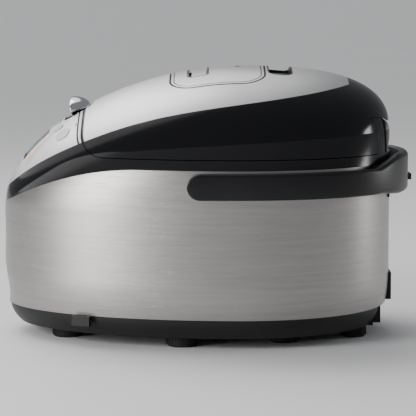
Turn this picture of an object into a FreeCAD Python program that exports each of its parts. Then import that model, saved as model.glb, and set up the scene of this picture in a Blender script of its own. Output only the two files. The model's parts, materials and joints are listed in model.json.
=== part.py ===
"""Rice cooker, ten-cup induction type, as a parametric FreeCAD document.

Millimetres. +Z is up, the front with its control panel faces -Y, and X runs across the width.
The origin is on the floor, in the middle of the length and the width.
"""
import FreeCAD, Part
import Sketcher
import math
import os
import re

V = FreeCAD.Vector
X_AXIS, Y_AXIS, Z_AXIS = V(1, 0, 0), V(0, 1, 0), V(0, 0, 1)

doc = FreeCAD.newDocument("rice_cooker")
sheet = doc.addObject("Spreadsheet::Sheet", "sizes")
sub_parts = []

# --------------------------------------------------------------------------------------------
# Driving dimensions
# --------------------------------------------------------------------------------------------
DIMENSIONS = [
    ("pot_y", 30.0, "centre of the pot and widest station of the body"),
    ("half_width", 142.0, "body half width at the steel wall"),
    ("nose_length", 225.3, "pot centre to the front of the body"),
    ("tail_length", 144.5, "pot centre to the back of the body"),
    ("top_z", 254.3, "highest point of the lid"),
    ("nose_turn_z", 125.0, "height where the front starts to lean back"),
    ("side_turn_z", 150.0, "height where the sides start to draw in"),
    ("tail_turn_z", 190.0, "height where the back starts to draw in"),
    ("steel_bottom_z", 28.8, "lower edge of the steel wall"),
    ("steel_top_z", 165.0, "upper edge of the steel wall, level part"),
    ("base_bottom_z", 10.5, "underside of the base"),
    ("base_tuck", 11.0, "how far the base draws in at its underside"),
    ("steel_wall", 0.8, "steel wall thickness"),
    ("base_wall", 2.5, "moulded base wall thickness"),
    ("frame_wall", 2.6, "moulded upper frame wall thickness"),
    ("lid_wall", 3.0, "outer skins of the lid together"),
    ("plate_wall", 1.2, "brushed lid plate thickness"),
    ("seam_z", 174.4, "seam between the lid and the body"),
    ("seam_gap", 0.5, "open gap at that seam"),
    ("lid_front_y", -117.0, "front edge of the lid"),
    ("lid_corner", 20.0, "corner radius at the foot of the lid front"),
    ("plate_rear_y", 133.0, "rear end of the brushed lid plate"),
    ("deck_z", 171.5, "underside of the deck around the pot"),
    ("deck_opening", 118.0, "radius of the opening in the deck"),
    ("well_radius", 109.0, "inner radius of the pot well"),
    ("well_floor_z", 40.0, "underside of the pot well floor"),
    ("well_wall", 2.0, "pot well wall thickness"),
    ("pot_radius", 106.0, "outer radius of the pot"),
    ("pot_rim_radius", 116.0, "outer radius of the pot rim"),
    ("pot_floor_z", 44.0, "underside of the pot"),
    ("pot_rim_z", 173.0, "top of the pot rim"),
    ("pot_wall", 2.5, "pot wall thickness"),
    ("pot_corner", 28.0, "pot bottom corner radius"),
    ("hinge_y", 156.5, "lid hinge axis"),
    ("hinge_z", 190.5, "lid hinge axis"),
    ("hinge_drum", 17.5, "fixed hinge drum radius"),
    ("hinge_clear", 18.0, "radius kept free in the lid around the drum"),
    ("hinge_span", 64.0, "half length of the drum"),
    ("hinge_pin", 3.0, "hinge pin radius"),
    ("handle_y", -7.0, "carry handle pivot"),
    ("handle_z", 151.5, "carry handle pivot"),
    ("handle_inner", 145.0, "handle inner half width"),
    ("handle_thick", 8.5, "handle arm thickness"),
    ("handle_band", 24.0, "handle arm height"),
    ("handle_swing", 190.0, "clear swing radius inside the crossbar"),
    ("handle_pivot", 6.0, "handle pivot pin radius"),
    ("cap_front_y", -35.0, "steam cap front edge"),
    ("cap_back_y", 53.0, "steam cap rear edge"),
    ("cap_half", 72.0, "steam cap half width"),
    ("cap_corner", 24.0, "steam cap corner radius"),
    ("cap_gap", 0.8, "gap around the steam cap"),
    ("cup_floor_z", 206.0, "underside of the steam cup floor"),
    ("foot_radius", 14.5, "front and middle foot radius"),
    ("rear_foot_radius", 12.0, "rear foot radius"),
    ("fan_depth", 15.0, "fan frame depth"),
]
ALIASES = [alias for alias, value, note in DIMENSIONS]
for row, (alias, value, note) in enumerate(DIMENSIONS, start=1):
    sheet.set("A%d" % row, note)
    sheet.set("B%d" % row, str(value))
    sheet.setAlias("B%d" % row, alias)
doc.recompute()


def linked(expression):
    """A sheet expression such as "pot_y + 2", written so that any object can use it."""
    return re.sub(r"[a-z_]+", lambda m: "sizes." + m.group(0) if m.group(0) in ALIASES
                  else m.group(0), expression)


def size(expression):
    """Value in millimetres of a sheet expression."""
    value = sheet.evalExpression(linked(expression))
    return float(getattr(value, "Value", value))


# --------------------------------------------------------------------------------------------
# Helpers: naming, primitives, sketched bodies
# --------------------------------------------------------------------------------------------
def keep(item, label):
    """Mark a document object as a finished sub-part with its own label."""
    item.Label = label
    sub_parts.append(item)
    return item


def bind(item, **dims):
    for prop, expression in dims.items():
        item.setExpression(prop, linked(expression))
    return item


def put(item, x="0", y="0", z="0", axis=Z_AXIS, turn=0.0):
    """Place an object at sheet expressions, turned about its own origin."""
    item.Placement = FreeCAD.Placement(V(size(x), size(y), size(z)), FreeCAD.Rotation(axis, turn))
    bind(item, **{"Placement.Base.x": x, "Placement.Base.y": y, "Placement.Base.z": z})
    return item


def rod(name, radius, length, x="0", y="0", z="0", axis=Z_AXIS, turn=0.0):
    item = bind(doc.addObject("Part::Cylinder", name), Radius=radius, Height=length)
    return put(item, x, y, z, axis, turn)


def cross_rod(name, radius, length, x, y, z):
    """Cylinder along +X that starts at x."""
    return rod(name, radius, length, x, y, z, Y_AXIS, 90)


def block(name, length, width, height, x, y, z, axis=Z_AXIS, turn=0.0):
    """Box with its lowest corner at x, y, z, turned about that corner."""
    item = bind(doc.addObject("Part::Box", name), Length=length, Width=width, Height=height)
    return put(item, x, y, z, axis, turn)


def aim(item, base, rotation):
    """Free placement for a piece that stands in a ring."""
    for axis_name in ("x", "y", "z"):
        item.setExpression("Placement.Base." + axis_name, None)
    item.Placement = FreeCAD.Placement(base, rotation)
    return item


def fuse(name, items):
    item = doc.addObject("Part::MultiFuse", name)
    item.Shapes = items
    return item


def cut(name, base, tool):
    item = doc.addObject("Part::Cut", name)
    item.Base, item.Tool = base, tool
    return item


def feature(name, shape):
    item = doc.addObject("Part::Feature", name)
    item.Shape = shape
    return item


def origin_plane(body, role):
    return [f for f in body.Origin.OriginFeatures if f.Role == role][0]


def outline(body, name, role, corners):
    """Closed sketch through corners given as pairs of sheet expressions."""
    sketch = body.newObject("Sketcher::SketchObject", name)
    sketch.AttachmentSupport = (origin_plane(body, role), "")
    sketch.MapMode = "FlatFace"
    points = [V(size(u), size(v), 0) for u, v in corners]
    count = len(points)
    for k in range(count):
        sketch.addGeometry(Part.LineSegment(points[k], points[(k + 1) % count]), False)
    for k in range(count):
        link = Sketcher.Constraint("Coincident", k, 2, (k + 1) % count, 1)
        sketch.addConstraint(link)
    for k, corner in enumerate(corners):
        for kind, text, axis_line in zip(("DistanceX", "DistanceY"), corner, (-2, -1)):
            if abs(size(text)) < 1e-9:
                sketch.addConstraint(Sketcher.Constraint("PointOnObject", k, 1, axis_line))
                continue
            label = "%s_%d" % (kind, k)
            mark = sketch.addConstraint(Sketcher.Constraint(kind, -1, 1, k, 1, size(text)))
            sketch.renameConstraint(mark, label)
            sketch.setExpression("Constraints." + label, linked(text))
    return sketch


def turned(name, corners, x="0", y="0", z="0", axis=Z_AXIS, turn=0.0):
    """Body of revolution about its own Z; corners are (radius, height) pairs."""
    body = doc.addObject("PartDesign::Body", name)
    sketch = outline(body, name + "_outline", "XZ_Plane", corners)
    spin = body.newObject("PartDesign::Revolution", name + "_spin")
    spin.Profile = sketch
    spin.ReferenceAxis = (sketch, ["V_Axis"])
    spin.Angle = 360
    return put(body, x, y, z, axis, turn)


# --------------------------------------------------------------------------------------------
# The cooker's outer form: one egg-shaped envelope, and the edges that divide it into shells
# --------------------------------------------------------------------------------------------
def lean(height, turn_height, reach, power, inset):
    """Share of the full reach that is left at a height above the turn, superelliptic to the top."""
    rise = max(0.0, height - turn_height) / (size("top_z") - inset - turn_height)
    return (reach - inset) * max(0.0, 1 - rise ** power) ** (1 / power)


def egg(height, nose, tail, half):
    """Closed horizontal outline: a long half ellipse in front, a fuller half circle behind."""
    centre = size("pot_y")
    quarters = []
    for across, along, fullness in ((half, -nose, 0.5523), (half, tail, 0.57),
                                    (-half, tail, 0.57), (-half, -nose, 0.5523)):
        side = V(across, centre, height)
        end = V(0, centre + along, height)
        curve = Part.BezierCurve()
        points = [side, side + Y_AXIS * along * fullness, end + X_AXIS * across * fullness, end]
        curve.setPoles(points if across * along > 0 else points[::-1])
        quarters.append(curve.toShape())
    return Part.Wire(quarters)


def foot_tuck(height):
    """The wall draws in slightly near its lower edge."""
    return 3.0 * (max(0.0, 62.0 - height) / 33.2) ** 2


def envelope(inset):
    """Solid outer form, drawn in by the inset on every side, from the steel's lower edge up."""
    top = size("top_z") - inset
    levels = [size("steel_bottom_z"), 62, 95, size("nose_turn_z"), 145, 165, 185, 205, 222, 236,
              246, 251]
    wires = []
    for level in levels:
        if level > top - 0.3:
            continue
        nose = lean(level, size("nose_turn_z"), size("nose_length"), 1.8, inset) - foot_tuck(level)
        tail = lean(level, size("tail_turn_z"), size("tail_length"), 2.72, inset) - foot_tuck(level)
        half = lean(level, size("side_turn_z"), size("half_width"), 2.05, inset) - foot_tuck(level)
        wires.append(egg(level, nose, tail, half))
    crown = Part.Vertex(V(0, size("pot_y"), top))
    return Part.makeLoft(wires + [crown], True, False)


# --------------------------------------------------------------------------------------------
# Zones: side profiles and plan outlines, extruded through the whole cooker
# --------------------------------------------------------------------------------------------
REACH = 400.0


def across_x(edges):
    """Solid made by extruding a closed side profile, drawn in Y and Z, across the width."""
    return Part.Face(Part.Wire(edges)).translated(V(-REACH / 2, 0, 0)).extrude(V(REACH, 0, 0))


def side_line(*points):
    """Straight edges through (y, z) points."""
    corners = [V(0, y, z) for y, z in points]
    return [Part.LineSegment(a, b).toShape() for a, b in zip(corners, corners[1:])]


def side_arc(start, middle, end):
    return [Part.Arc(*[V(0, y, z) for y, z in (start, middle, end)]).toShape()]


def lid_zone(grow=0.0):
    """Space of the closed lid: behind its upright front edge and above the seam."""
    corner = size("lid_corner")
    front, foot = size("lid_front_y") - grow, size("seam_z + seam_gap") - grow
    bend_y, bend_z = size("lid_front_y") + corner, size("seam_z + seam_gap") + corner
    radius = corner + grow
    mid = (bend_y - radius * math.cos(math.pi / 4), bend_z - radius * math.sin(math.pi / 4))
    edges = side_line((bend_y, foot), (REACH, foot), (REACH, REACH), (front, REACH), (front, bend_z))
    return across_x(edges + side_arc((front, bend_z), mid, (bend_y, foot)))


STEEL_ARC = 250.0
STEEL_ARC_Y = -60.0


def above_steel():
    """Space above the steel wall's upper edge: level at the back, curving down to the nose."""
    top = size("steel_top_z")

    def dip(y):
        return top - STEEL_ARC + math.sqrt(STEEL_ARC ** 2 - (y - STEEL_ARC_Y) ** 2)
    start, middle, end = (-205.0, dip(-205.0)), (-130.0, dip(-130.0)), (STEEL_ARC_Y, top)
    edges = side_line(end, (REACH, top), (REACH, REACH), (-205.0, REACH), start)
    return across_x(edges + side_arc(start, middle, end))


SILVER_EDGE = [(-205, 126), (-165, 161.5), (-117, 186.5), (-62, 206), (36, 223.5), (150, 242)]


def above_silver():
    """Space above the line where black skirt turns into silver panel and lid plate."""
    curve = Part.BSplineCurve()
    curve.interpolate([V(0, y, z) for y, z in SILVER_EDGE])
    (first_y, first_z), (last_y, last_z) = SILVER_EDGE[0], SILVER_EDGE[-1]
    edges = side_line((last_y, last_z), (REACH, last_z), (REACH, REACH), (first_y, REACH),
                      (first_y, first_z))
    return across_x(edges + [curve.toShape()])


def box(x0, x1, y0, y1, z0, z1):
    return Part.makeBox(x1 - x0, y1 - y0, z1 - z0, V(x0, y0, z0))


def tube_zone(radius, half, y, z):
    return Part.makeCylinder(radius, 2 * half, V(-half, y, z), X_AXIS)


def round_column(half, front, back, corner, z0=0.0, z1=REACH):
    """Upright column with a rounded rectangular plan."""
    plan = Part.makePlane(2 * half, back - front, V(-half, front, z0))
    column = plan.extrude(V(0, 0, z1 - z0))
    upright = [e for e in column.Edges if abs(e.tangentAt(e.FirstParameter).z) > 0.99]
    return column.makeFillet(corner, upright)


def surface_z(x, y):
    """Height of the outer form above a plan point of its front half."""
    low, high = size("seam_z"), size("top_z")
    for _ in range(40):
        middle = (low + high) / 2
        nose = lean(middle, size("nose_turn_z"), size("nose_length"), 1.8, 0)
        half = lean(middle, size("side_turn_z"), size("half_width"), 2.05, 0)
        inside = (x / half) ** 2 + ((y - size("pot_y")) / nose) ** 2 < 1
        low, high = (middle, high) if inside else (low, middle)
    return low


outer = envelope(0)
under_steel = envelope(size("steel_wall"))
under_plate = envelope(size("plate_wall"))
under_frame = envelope(size("frame_wall"))
under_lid = envelope(size("lid_wall"))
steel_line, silver_line = above_steel(), above_silver()
closed_lid = lid_zone()

# --------------------------------------------------------------------------------------------
# Steel wall and base
# --------------------------------------------------------------------------------------------
INLET_HALF, INLET_LOW, INLET_HIGH = 22.0, 31.0, 57.0
pivot_y, pivot_z = size("handle_y"), size("handle_z")


def build_steel_wall():
    wall = outer.cut(steel_line).cut(under_steel)
    wall = wall.cut(tube_zone(size("handle_pivot"), 160, pivot_y, pivot_z))
    wall = wall.cut(box(-INLET_HALF, INLET_HALF, 150, 180, INLET_LOW, INLET_HIGH))
    keep(feature("steel_wall_shell", wall), "outer_shell")


BASE_PROFILE = [(0.0, 1.0), (0.25, 0.6), (0.6, 0.25), (1.0, 0.1)]
VENT_HALF, VENT_FRONT = 52.0, 132.0
SCREWS = [(x, y) for x in (-70, 70) for y in (-85, 10, 105)]


def base_form(inset, floor_z):
    """Tray form: share of the height against share of the tuck at its underside."""
    wires = []
    top = size("steel_bottom_z")
    for share, tuck_share in BASE_PROFILE:
        level = floor_z + (top - floor_z) * share
        tuck = foot_tuck(top) + size("base_tuck") * tuck_share + inset
        wires.append(egg(level, size("nose_length") - tuck, size("tail_length") - tuck,
                         size("half_width") - tuck))
    return Part.makeLoft(wires, True, False)


def build_base():
    wall = size("base_wall")
    tray = base_form(0, size("base_bottom_z")).cut(base_form(wall, size("base_bottom_z") + wall))
    tray = tray.cut(box(-VENT_HALF, VENT_HALF, VENT_FRONT, 200, 0, 40))
    for x, y in SCREWS:
        tray = tray.cut(Part.makeCylinder(1.8, 10, V(x, y, 5)))
    for k in range(7):
        slot_y = -140 + 7 * k
        tray = tray.cut(box(20, 62, slot_y, slot_y + 3.5, 5, 14))
    keep(feature("base_tray", tray), "base_case")


def build_base_details():
    screws = []
    for k, (x, y) in enumerate(SCREWS):
        screws.append(rod("base_screw_head_%d" % k, "3.6", "1.4", str(x), str(y), "base_bottom_z - 1.4"))
        screws.append(rod("base_screw_shank_%d" % k, "1.8", "9", str(x), str(y), "base_bottom_z"))
    keep(fuse("base_screw_set", screws), "base_screws")
    rows = (("front_feet", "foot_radius", 46, -133), ("middle_feet", "foot_radius", 101, -24),
            ("side_feet", "foot_radius", 77, 71), ("rear_feet", "rear_foot_radius", 48, 138))
    for name, radius, x, y in rows:
        pads = []
        for side, sign in (("left", -1), ("right", 1)):
            pads.append(rod("%s_%s" % (name, side), radius, "base_bottom_z - 2", str(sign * x), str(y), "2"))
            edge = bind(doc.addObject("Part::Cone", "%s_%s_edge" % (name, side)),
                        Radius1=radius + " - 1.5", Radius2=radius, Height="2")
            pads.append(put(edge, str(sign * x), str(y), "0"))
        keep(fuse(name + "_pair", pads), name)
    bars = [block("vent_body", "2 * %s" % (VENT_HALF - 0.3), "24", "steel_bottom_z - base_bottom_z",
                  str(0.3 - VENT_HALF), str(VENT_FRONT + 0.3), "base_bottom_z")]
    for k in range(9):
        bars.append(block("vent_rib_%d" % k, "3", "8", "steel_bottom_z - base_bottom_z - 2",
                          str(-41.5 + 10 * k), str(VENT_FRONT + 24.2), "base_bottom_z + 1"))
    keep(fuse("vent_grille", bars), "rear_vent_grille")
    socket = block("paddle_socket_body", "4", "18", "9", "0", "0", "0")
    slot = block("paddle_socket_slot", "2", "12", "6", "1.2", "3", "3.5")
    clip = cut("paddle_socket_cut", socket, slot)
    keep(put(clip, "103.5", "-124", "19.5", Z_AXIS, -24), "paddle_holder_socket")


def build_power_inlet():
    shroud = block("inlet_block", "2 * 22", "15.8", "26", "-22", "160", str(INLET_LOW))
    recess = block("inlet_recess", "30", "12", "16", "-15", "167", str(INLET_LOW + 5))
    keep(cut("inlet_shroud", shroud, recess), "power_inlet")
    pins = [rod("inlet_pin_%s" % k, "1.5", "6", str(x), "167", str(INLET_LOW + 13), X_AXIS, -90)
            for k, x in (("left", -6), ("right", 6))]
    keep(fuse("inlet_pin_pair", pins), "inlet_pins")


# --------------------------------------------------------------------------------------------
# Upper frame, control panel, trim
# --------------------------------------------------------------------------------------------
LEVER_HALF, LEVER_FRONT, LEVER_BACK = 28.0, -137.0, -109.8
DRUM_SPANS = ((-64.0, -46.5), (-39.5, 39.5), (46.5, 64.0))
SPRING_ROOM = 8.0
PANEL_TILT = 42.0
KEYS = [("start_key", 56, -136, 7.5), ("keep_warm_key", -56, -136, 7.5), ("menu_key", 36, -141, 5),
        ("timer_key", -36, -141, 5), ("hour_key", 12, -143, 4.5), ("minute_key", -12, -143, 4.5)]
LCD_HALF, LCD_FRONT, LCD_BACK = 27.0, -176.0, -151.0


def lever_well():
    return round_column(LEVER_HALF, LEVER_FRONT, LEVER_BACK, 10, 196)


def key_rod(x, y, radius, grow=0.0):
    """Cylinder square to the panel through a plan point."""
    tilt = math.radians(PANEL_TILT)
    normal = V(0, -math.sin(tilt), math.cos(tilt))
    centre = V(x, y, surface_z(x, y))
    return Part.makeCylinder(radius + grow, 20, centre - normal * 10, normal)


def build_upper_frame():
    wall = outer.common(steel_line).cut(lid_zone(0.8)).cut(under_frame)
    panel_zone = silver_line.cut(lid_zone(4.8))
    trim_zone = silver_line.common(lid_zone(4.4))
    well = lever_well()
    deck = lid_zone(3.4).cut(lid_zone(0.8)).common(under_frame)
    deck = deck.cut(Part.makeCylinder(size("deck_opening"), 20, V(0, size("pot_y"), 165)))
    frame = wall.cut(silver_line).fuse(deck)
    for x0, x1 in DRUM_SPANS:
        drum = Part.makeCylinder(size("hinge_drum"), x1 - x0,
                                 V(x0, size("hinge_y"), size("hinge_z")), X_AXIS)
        neck = box(x0, x1, 147.5, 170, size("deck_z"), size("hinge_z"))
        frame = frame.fuse(drum.fuse(neck).common(outer))
    frame = frame.cut(tube_zone(size("hinge_pin"), 60.5, size("hinge_y"), size("hinge_z")))
    frame = frame.cut(tube_zone(SPRING_ROOM, 52.5, size("hinge_y"), size("hinge_z")).cut(
        tube_zone(SPRING_ROOM, 39.5, size("hinge_y"), size("hinge_z"))))
    frame = frame.cut(well)
    keep(feature("frame_shell", frame.removeSplitter()), "upper_frame")
    face = wall.common(panel_zone).cut(well)
    for name, x, y, radius in KEYS:
        face = face.cut(key_rod(x, y, radius, 0.35))
    window = round_column(LCD_HALF, LCD_FRONT, LCD_BACK, 3)
    keep(feature("panel_shell", face.cut(window)), "control_panel")
    keep(feature("window_pane", outer.cut(envelope(1.6)).common(window)), "lcd_window")
    keep(feature("trim_strip", wall.common(trim_zone).cut(well)), "lid_front_trim")
    for name, x, y, radius in KEYS:
        cap = envelope(-0.6).cut(envelope(5)).common(key_rod(x, y, radius))
        keep(feature(name + "_cap", cap), name)


def build_electronics():
    keep(block("control_pcb", "84", "50", "1.6", "-42", "-166", "155", X_AXIS, PANEL_TILT),
         "control_board")
    keep(block("lcd_block", "50", "24", "6", "-25", "-169", "160.5", X_AXIS, PANEL_TILT), "lcd_module")
    keep(block("power_pcb", "76", "50", "1.6", "-64", "-146", "18"), "power_board")
    fins = [block("sink_plate", "46", "40", "4", "-56", "-141", "19.6")]
    for k in range(8):
        fins.append(block("sink_fin_%d" % k, "2", "40", "20", str(-56 + 6.28 * k), "-141", "23.6"))
    keep(fuse("sink_body", fins), "heat_sink")
    shell = block("fan_box", "50", "50", "fan_depth", "16", "-146", "15")
    bore = rod("fan_bore", "23.5", "fan_depth + 2", "41", "-121", "14")
    spider = block("fan_spider", "49", "6", "1.5", "16.5", "-124", "15")
    keep(fuse("fan_frame_whole", [cut("fan_ring", shell, bore), spider]), "fan_frame")
    blades = [rod("fan_hub", "9", "9", "41", "-121", "17.5")]
    for k in range(7):
        blade = block("fan_blade_%d" % k, "14", "1.2", "8", "0", "0", "0")
        turn = FreeCAD.Rotation(Z_AXIS, 360.0 * k / 7) * FreeCAD.Rotation(X_AXIS, 35)
        start = V(41, -121, 18.6) + FreeCAD.Rotation(Z_AXIS, 360.0 * k / 7).multVec(V(7.2, 1.9, 0))
        blades.append(aim(blade, start, turn))
    keep(fuse("fan_wheel", blades), "fan_rotor")


# --------------------------------------------------------------------------------------------
# Heating: well, pot, coils, sensor
# --------------------------------------------------------------------------------------------
def build_heating():
    well = turned("pot_well", [("14.3", "well_floor_z"), ("well_radius - 25", "well_floor_z"),
                               ("well_radius + well_wall", "well_floor_z + 27"),
                               ("well_radius + well_wall", "deck_z - 3"),
                               ("deck_opening + 6", "deck_z - 3"), ("deck_opening + 6", "deck_z"),
                               ("well_radius", "deck_z"), ("well_radius", "well_floor_z + 28"),
                               ("well_radius - 26", "well_floor_z + well_wall"),
                               ("14.3", "well_floor_z + well_wall")], "0", "pot_y", "0")
    keep(well, "inner_housing")
    pot = turned("pot_blank", [("0", "pot_floor_z"), ("pot_radius", "pot_floor_z"),
                               ("pot_radius", "deck_z"), ("pot_rim_radius", "deck_z"),
                               ("pot_rim_radius", "pot_rim_z"), ("0", "pot_rim_z")], "0", "pot_y", "0")
    cavity = turned("pot_cavity", [("0", "pot_floor_z + pot_wall"),
                                   ("pot_radius - pot_wall - pot_corner", "pot_floor_z + pot_wall"),
                                   ("pot_radius - pot_wall", "pot_floor_z + pot_wall + pot_corner"),
                                   ("pot_radius - pot_wall", "pot_rim_z + 1"), ("0", "pot_rim_z + 1")],
                    "0", "pot_y", "0")
    skirt = turned("pot_corner_cut", [("pot_radius - pot_corner", "pot_floor_z - 1"),
                                      ("pot_radius + 1", "pot_floor_z - 1"),
                                      ("pot_radius + 1", "pot_floor_z + pot_corner + 1")],
                   "0", "pot_y", "0")
    keep(cut("pot_body", cut("pot_hollow", pot, cavity), skirt), "inner_pot")
    keep(turned("bottom_coil", [("26", "well_floor_z - 4"), ("82", "well_floor_z - 4"),
                                ("82", "well_floor_z"), ("26", "well_floor_z")], "0", "pot_y", "0"),
         "bottom_heating_coil")
    ring = bind(doc.addObject("Part::Torus", "side_coil_ring"), Radius1="well_radius + 8", Radius2="4.5")
    keep(put(ring, "0", "pot_y", "84"), "side_heating_coil")
    bars = []
    for k in range(8):
        bar = block("ferrite_bar_%d" % k, "50", "12", "4", "0", "0", "0")
        turn = FreeCAD.Rotation(Z_AXIS, 45.0 * k)
        start = V(0, size("pot_y"), size("well_floor_z - 8")) + turn.multVec(V(30, -6, 0))
        bars.append(aim(bar, start, turn))
    keep(fuse("ferrite_set", bars), "ferrite_bars")
    carrier = [turned("carrier_disc", [("20", "well_floor_z - 11"), ("86", "well_floor_z - 11"),
                                       ("86", "well_floor_z - 8"), ("20", "well_floor_z - 8")],
                      "0", "pot_y", "0")]
    for k in range(4):
        angle = math.radians(45 + 90 * k)
        carrier.append(rod("carrier_leg_%d" % k, "5", "well_floor_z - 11 - base_bottom_z - base_wall",
                           str(78 * math.cos(angle)), "pot_y + %.3f" % (78 * math.sin(angle)),
                           "base_bottom_z + base_wall"))
    keep(fuse("carrier_whole", carrier), "coil_carrier")
    keep(turned("sensor_cup", [("0", "20"), ("14", "20"), ("14", "42"), ("11", "42"), ("11", "22"),
                               ("0", "22")], "0", "pot_y", "0"), "sensor_housing")
    keep(turned("sensor_button", [("0", "36"), ("10.5", "36"), ("10.5", "42"), ("9", "pot_floor_z"),
                                  ("0", "pot_floor_z")], "0", "pot_y", "0"), "pot_sensor")
    coil = Part.makeHelix(2.9, 11.6, 8)
    ring = Part.Wire(Part.makeCircle(0.5, V(8, 0, 0), Y_AXIS))
    spring = Part.Wire(coil.Edges).makePipeShell([ring], True, True)
    spring.translate(V(0, size("pot_y"), 23.2))
    keep(feature("sensor_coil", spring), "sensor_spring")


# --------------------------------------------------------------------------------------------
# Lid
# --------------------------------------------------------------------------------------------
def hinge_room():
    """Space inside the lid that stays free around the fixed hinge drum."""
    span = size("hinge_span") + 0.5
    room = tube_zone(size("hinge_clear"), span, size("hinge_y"), size("hinge_z"))
    return room.fuse(box(-span, span, size("hinge_y"), 200, 160, 203.5)).fuse(
        box(-span, span, 146, 200, 160, size("hinge_z")))


def cap_column(grow=0.0, z0=0.0, z1=REACH):
    return round_column(size("cap_half") + grow, size("cap_front_y") - grow, size("cap_back_y") + grow,
                        size("cap_corner") + grow, z0, z1)


RECESS_HALF, RECESS_FRONT, RECESS_BACK = 48.0, 56.0, 80.0
HUMP_HALF = 52.0


def build_lid():
    gap, room = size("cap_gap"), hinge_room()
    front_wall = closed_lid.cut(lid_zone(-2.5)).common(under_lid).common(
        box(-200, 200, -150, size("lid_front_y + lid_corner"), 100, 300))
    recess = round_column(RECESS_HALF, RECESS_FRONT, RECESS_BACK, 9)
    notch = lever_well()
    plate_zone = silver_line.common(box(-200, 200, -200, size("plate_rear_y"), 100, 300))
    shell = outer.common(closed_lid).cut(room).cut(under_lid)
    openings = cap_column(gap).fuse(recess)
    plate = outer.common(plate_zone).common(closed_lid).cut(under_plate).cut(openings).cut(notch)
    keep(feature("plate_skin", plate), "lid_plate")
    hump_zone = box(-HUMP_HALF, HUMP_HALF, size("plate_rear_y") + 5, 200, 204, 300)
    hump = outer.common(hump_zone).cut(under_plate).cut(room)
    keep(feature("hump_skin", hump), "hinge_cover")
    skirt = shell.cut(outer.common(plate_zone).cut(under_plate))
    skirt = skirt.cut(outer.common(hump_zone).cut(under_plate))
    skirt = skirt.cut(openings).fuse(front_wall).cut(notch)
    back = box(-32, 32, LEVER_BACK, LEVER_BACK + 2.5, 180, 300).common(under_lid)
    skirt = skirt.fuse(back)
    keep(feature("skirt_shell", skirt), "lid_skirt")
    cover = box(-200, 200, size("lid_front_y + lid_corner"), 200, size("seam_z + seam_gap"), 180)
    cover = cover.common(under_lid).cut(room)
    dish = Part.makeCylinder(size("deck_opening") + 1, 10, V(0, size("pot_y"), 167.5))
    cover = cover.cut(dish).cut(Part.makeCylinder(13, 30, V(0, 9, 160)))
    keep(feature("lower_cover", cover), "lid_lower_cover")
    ears = []
    for x0 in (-46.0, 40.0):
        eye = Part.makeCylinder(9, 6, V(x0, size("hinge_y"), size("hinge_z")), X_AXIS)
        arm = box(x0, x0 + 6, 128, size("hinge_y"), size("hinge_z") - 8, size("hinge_z") + 24)
        bore = Part.makeCylinder(size("hinge_pin") + 0.05, 8, V(x0 - 1, size("hinge_y"), size("hinge_z")),
                                 X_AXIS)
        ears.append(eye.fuse(arm).common(envelope(size("lid_wall"))).cut(bore).removeSplitter())
    beam = box(-46, 46, 120, 128, 184, 200)
    keep(feature("hinge_arms", ears[0].fuse([beam, ears[1]]).removeSplitter()), "lid_hinge_frame")
    tub = cap_column(gap, size("cup_floor_z")).common(under_plate)
    tub = tub.cut(cap_column(gap - 2, size("cup_floor_z") + 2)).cut(Part.makeCylinder(9, 30, V(0, 9, 190)))
    tub = tub.cut(cap_column(0.3).cut(envelope(2.8)))
    keep(feature("cup_tub", tub), "steam_cup")
    dish = round_column(RECESS_HALF, RECESS_FRONT, RECESS_BACK, 9).common(outer).cut(envelope(9))
    hollow = round_column(RECESS_HALF - 1.6, RECESS_FRONT + 1.6, RECESS_BACK - 1.6, 7.4)
    keep(feature("recess_dish", dish.cut(hollow.common(outer.cut(envelope(7))))), "finger_recess")


def build_lid_details():
    keep(turned("inner_plate", [("10", "177"), ("114", "177"), ("114", "178"), ("10", "178")],
                "0", "pot_y", "-0.6"), "inner_lid")
    keep(turned("inner_knob", [("0", "174.2"), ("9", "174.2"), ("10", "176.4"), ("10", "177.5"),
                               ("0", "177.5")], "0", "pot_y", "0"), "inner_lid_hub")
    keep(turned("rim_seal", [("107", "pot_rim_z + 0.4"), ("114.5", "pot_rim_z + 0.4"),
                             ("115", "176.4"), ("105", "176.4")], "0", "pot_y", "0"), "lid_gasket")
    keep(turned("steam_tube", [("5", "179"), ("9", "179"), ("9", "208"), ("12", "208"), ("12", "211"),
                               ("5", "211")], "0", "9", "0"), "steam_valve")
    keep(block("catch_plate", "16", "4", "10", "-8", "-114.5 + 7.3", "183"), "lid_catch")
    heads = []
    for k, (x, y) in enumerate(((-100, -40), (100, -40), (-100, 95), (100, 95))):
        heads.append(rod("lid_screw_%d" % k, "3", "0.45", str(x), str(y), "seam_z + seam_gap - 0.45"))
    keep(fuse("lid_screw_set", heads), "lid_screws")


CAP_SLOT_HALF, CAP_SLOT_FRONT, CAP_SLOT_BACK = 45.0, -18.0, -1.0


def build_steam_cap():
    gap = size("cap_gap")
    slot = round_column(CAP_SLOT_HALF, CAP_SLOT_FRONT, CAP_SLOT_BACK, 4)
    skin = outer.cut(envelope(2.4)).common(cap_column(0)).cut(slot)
    vent = round_column(14, 26, 31, 2.4)
    skin = skin.cut(vent)
    rim = cap_column(gap - 3.2, 222).cut(cap_column(gap - 5.0, 215)).common(envelope(2.4))
    bridge = box(-CAP_SLOT_HALF - 3, CAP_SLOT_HALF + 3, CAP_SLOT_FRONT - 3, CAP_SLOT_BACK + 3, 215, 300)
    bridge = bridge.common(envelope(2.4)).cut(envelope(7)).cut(
        round_column(CAP_SLOT_HALF, CAP_SLOT_FRONT, CAP_SLOT_BACK, 4).cut(envelope(5.4)))
    keep(feature("cap_skin", skin.fuse([rim, bridge])), "steam_cap")
    pad = round_column(CAP_SLOT_HALF - 0.5, CAP_SLOT_FRONT + 2.6, CAP_SLOT_BACK - 0.6, 3)
    keep(feature("latch_pad", envelope(1.0).cut(envelope(5.0)).common(pad)), "steam_cap_latch")


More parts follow.
